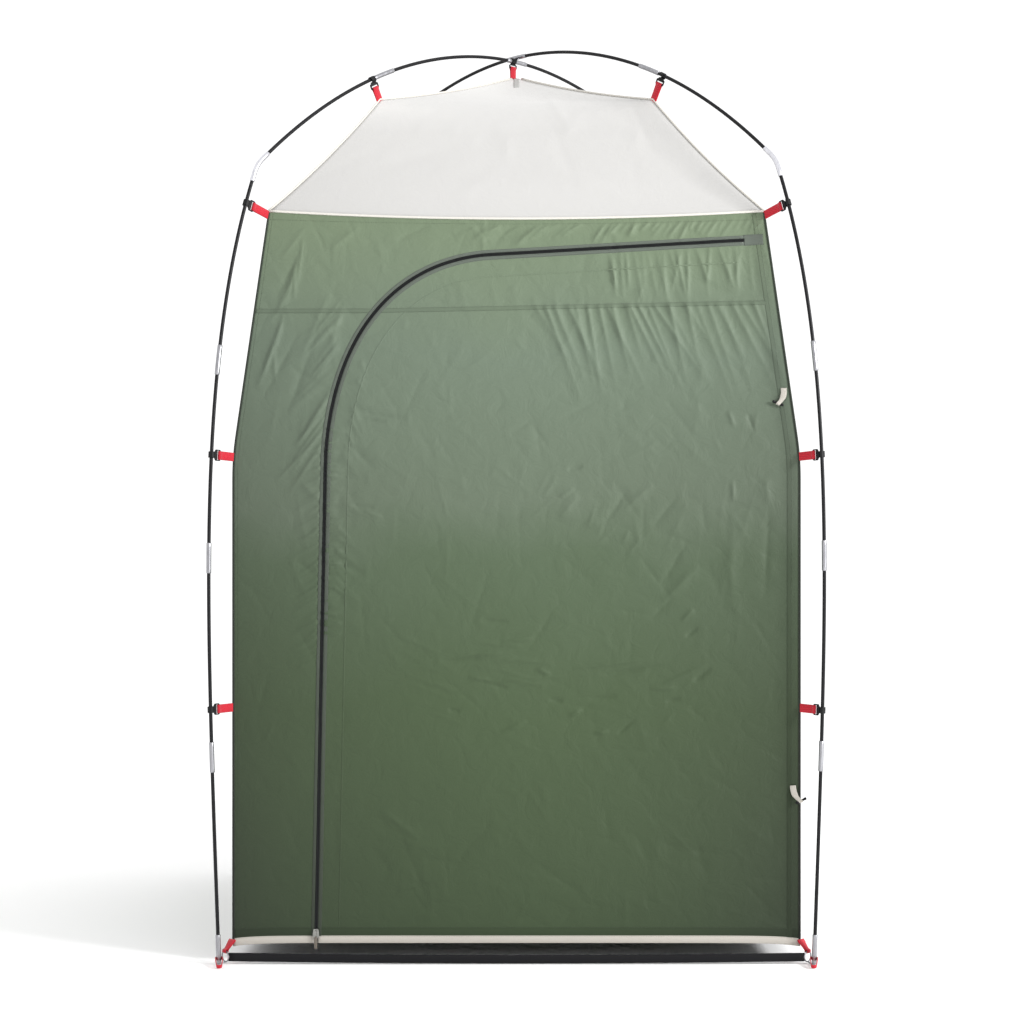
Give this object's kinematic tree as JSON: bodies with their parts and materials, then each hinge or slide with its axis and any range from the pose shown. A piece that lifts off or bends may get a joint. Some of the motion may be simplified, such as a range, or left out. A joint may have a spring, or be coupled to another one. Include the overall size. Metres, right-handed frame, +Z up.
{
  "type": "privacy shower tent",
  "caption": "Tall square privacy tent hung by straps and clips from crossed arched poles, with pale roof, green walls and a curved zip door.",
  "frame": {"origin": "on the ground, midway between the four pole feet", "axes": "+Z up, -Y out of the wall with the zip door, +X to the right of someone facing that wall"},
  "size_m": [1.4222, 1.4776, 2.2616],
  "materials": {
    "wall_cloth": "grey-green polyester taffeta",
    "roof_cloth": "off-white polyester taffeta with piped seams",
    "zip_coil": "black nylon coil",
    "zip_metal": "die-cast zinc",
    "cream_band": "folded cream cotton band",
    "black_nylon": "moulded black nylon",
    "fibreglass_rod": "black resin-coated fibreglass rod",
    "steel": "zinc-plated steel",
    "red_webbing": "red woven polypropylene webbing",
    "black_webbing": "black woven polypropylene webbing"
  },
  "bodies": {
    "tent": {"front_wall": "wall_cloth", "left_wall": "wall_cloth", "right_wall": "wall_cloth", "rear_wall": "wall_cloth", "roof_canopy": "roof_cloth", "zip_chain_wall": "zip_coil", "crossing_clip": "black_nylon", "pole_clip_low_front_left": "black_nylon", "pole_clip_middle_front_left": "black_nylon", "pole_clip_shoulder_front_left": "black_nylon", "pole_clip_roof_front_left": "black_nylon", "pole_clip_low_front_right": "black_nylon", "pole_clip_middle_front_right": "black_nylon", "pole_clip_shoulder_front_right": "black_nylon", "pole_clip_roof_front_right": "black_nylon", "pole_clip_low_rear_right": "black_nylon", "pole_clip_middle_rear_right": "black_nylon", "pole_clip_shoulder_rear_right": "black_nylon", "pole_clip_roof_rear_right": "black_nylon", "pole_clip_low_rear_left": "black_nylon", "pole_clip_middle_rear_left": "black_nylon", "pole_clip_shoulder_rear_left": "black_nylon", "pole_clip_roof_rear_left": "black_nylon", "leg_pole_front_left": "fibreglass_rod", "roof_pole_front_left": "fibreglass_rod", "leg_pole_front_right": "fibreglass_rod", "roof_pole_front_right": "fibreglass_rod", "leg_pole_rear_right": "fibreglass_rod", "roof_pole_rear_right": "fibreglass_rod", "leg_pole_rear_left": "fibreglass_rod", "roof_pole_rear_left": "fibreglass_rod", "elbow_front_left": "steel", "elbow_front_right": "steel", "elbow_rear_right": "steel", "elbow_rear_left": "steel", "ring_pin_front_left": "steel", "ring_pin_front_right": "steel", "ring_pin_rear_right": "steel", "ring_pin_rear_left": "steel", "crossing_sleeve_lower": "steel", "crossing_sleeve_upper": "steel", "corner_webbing_front_left": "red_webbing", "corner_webbing_front_right": "red_webbing", "corner_webbing_rear_right": "red_webbing", "corner_webbing_rear_left": "red_webbing", "stake_loop_front_left": "red_webbing", "stake_loop_front_right": "red_webbing", "stake_loop_rear_right": "red_webbing", "stake_loop_rear_left": "red_webbing", "crossing_strap": "red_webbing", "threshold_webbing": "black_webbing"},
    "door": {"door_panel": "wall_cloth", "zip_chain_door": "zip_coil"},
    "slider": {"zip_slider": "zip_metal"},
    "puller": {"zip_puller": "zip_metal"},
    "upper_loop": {"toggle_loop_upper": "cream_band"},
    "upper_peg": {"toggle_peg_upper": "black_nylon"},
    "lower_loop": {"toggle_loop_lower": "cream_band"},
    "lower_peg": {"toggle_peg_lower": "black_nylon"}
  },
  "joints": [
    {"name": "door_fold", "type": "hinge", "parent": "tent", "child": "door", "pos_m": [0.575, -0.656, 0.045], "axis": [0, 0, 1], "range_deg": [0, 110]},
    {"name": "zip_travel", "type": "slide", "parent": "tent", "child": "slider", "axis": [0.0201, 0, 0.9998], "range_m": [0, 1]},
    {"name": "puller_flip", "type": "hinge", "parent": "slider", "child": "puller", "pos_m": [-0.46461, -0.6609, 0.0644], "axis": [0.9998, 0, -0.0201], "range_deg": [-160, 2]},
    {"name": "upper_loop_lift", "type": "hinge", "parent": "tent", "child": "upper_loop", "pos_m": [0.62144, -0.63764, 1.332], "axis": [0.9272, 0, -0.3746], "range_deg": [-110, 0]},
    {"name": "upper_peg_turn", "type": "hinge", "parent": "upper_loop", "child": "upper_peg", "pos_m": [0.60685, -0.64679, 1.2959], "axis": [0.9272, 0, -0.3746], "continuous": true},
    {"name": "lower_loop_lift", "type": "hinge", "parent": "tent", "child": "lower_loop", "pos_m": [0.64, -0.6582, 0.41], "axis": [0.891, 0, 0.454], "range_deg": [-110, 0]},
    {"name": "lower_peg_turn", "type": "hinge", "parent": "lower_loop", "child": "lower_peg", "pos_m": [0.65754, -0.66855, 0.37557], "axis": [0.891, 0, 0.454], "continuous": true}
  ]
}
